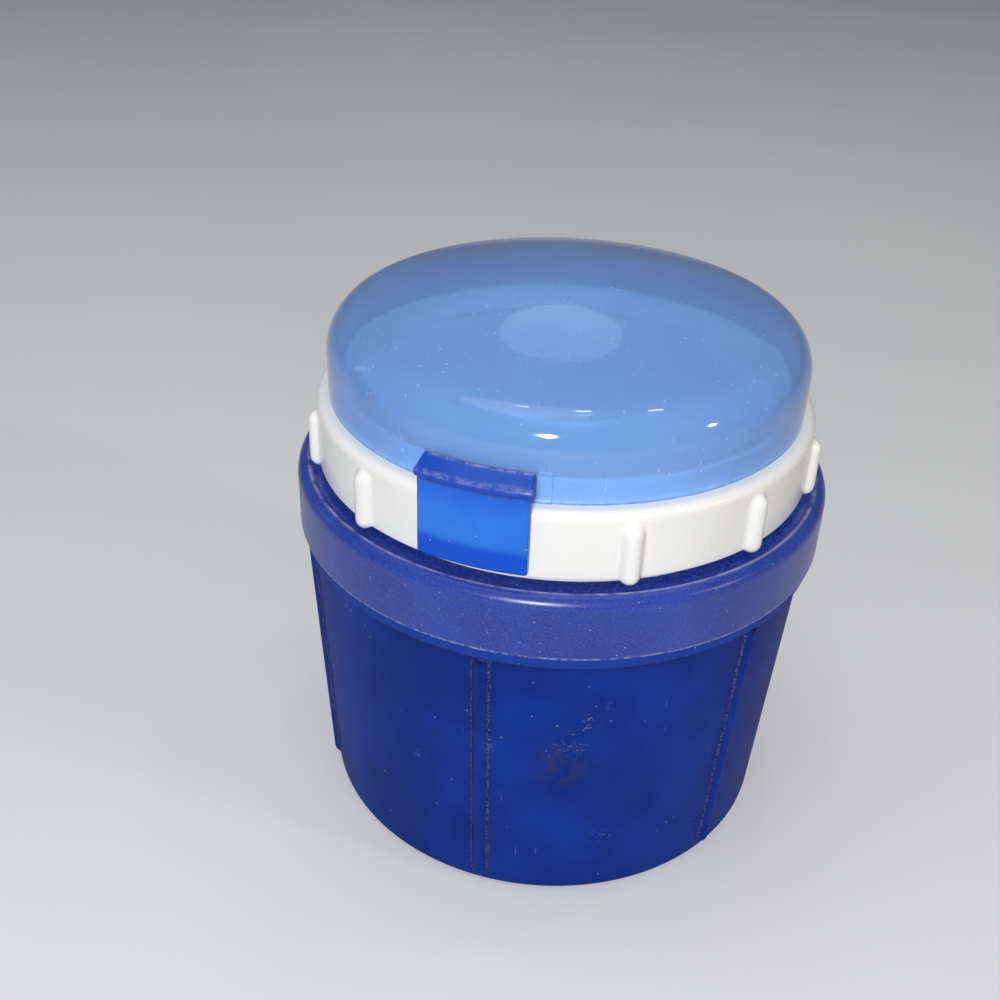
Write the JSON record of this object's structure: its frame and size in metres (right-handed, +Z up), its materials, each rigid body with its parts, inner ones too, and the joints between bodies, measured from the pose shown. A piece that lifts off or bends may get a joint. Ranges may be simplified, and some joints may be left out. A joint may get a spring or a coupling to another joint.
{
  "type": "insulated lunch jar",
  "caption": "Round insulated lunch jar: ribbed tapered shell, lift-out bowl, quick-turn screw lid and a hinged see-through dome over a snack compartment, held by a latch tab.",
  "frame": {"origin": "middle of the foot, on the surface that the jar stands on", "axes": "+Z up along the jar's axis; the latch tab faces -Y and the dome's hinge is at +Y"},
  "size_m": [0.124, 0.124, 0.1309],
  "materials": {
    "navy_plastic": "satin navy moulded plastic",
    "collar_plastic": "fine-grained satin blue",
    "white_plastic": "glossy white",
    "dome_plastic": "milky see-through blue",
    "tab_plastic": "saturated see-through blue",
    "liner_plastic": "satin pale grey",
    "foam": "rigid insulation foam",
    "seal": "soft silicone",
    "pin_steel": "plain wire"
  },
  "bodies": {
    "jar": {"outer_shell": "navy_plastic", "base_plate": "navy_plastic", "fill_plug": "navy_plastic", "insulation_disc": "foam", "insulation_sleeve": "foam", "inner_liner": "liner_plastic", "grip_collar": "collar_plastic"},
    "bowl": {"food_bowl": "white_plastic"},
    "lid_disc": {"lid_plate": "white_plastic", "lid_gasket": "seal", "lid_insulation": "foam", "lid_under_cover": "white_plastic"},
    "lid_ring": {"lid_ring": "white_plastic", "dome_hinge_pin": "pin_steel"},
    "dome": {"dome_lid": "dome_plastic", "latch_pin": "pin_steel"},
    "latch": {"latch_tab": "tab_plastic"}
  },
  "joints": [
    {"name": "bowl_lift", "type": "slide", "parent": "jar", "child": "bowl", "axis": [0, 0, 1], "range_m": [0, 0.09]},
    {"name": "lid_rise", "type": "slide", "parent": "bowl", "child": "lid_disc", "axis": [0, 0, 1], "range_m": [0, 0.00301]},
    {"name": "lid_turn", "type": "hinge", "parent": "lid_disc", "child": "lid_ring", "pos_m": [0, 0, 0.1025], "axis": [0, 0, 1], "range_deg": [0, 45]},
    {"name": "dome_open", "type": "hinge", "parent": "lid_ring", "child": "dome", "pos_m": [0, 0.0589, 0.1072], "axis": [-1, 0, 0], "range_deg": [0, 105]},
    {"name": "latch_swing", "type": "hinge", "parent": "dome", "child": "latch", "pos_m": [0, -0.0565, 0.1102], "axis": [-1, 0, 0], "range_deg": [0, 12]}
  ],
  "couplings": [
    {"joint": "lid_rise", "follows": "lid_turn", "m_per_rad": 0.0038197}
  ]
}
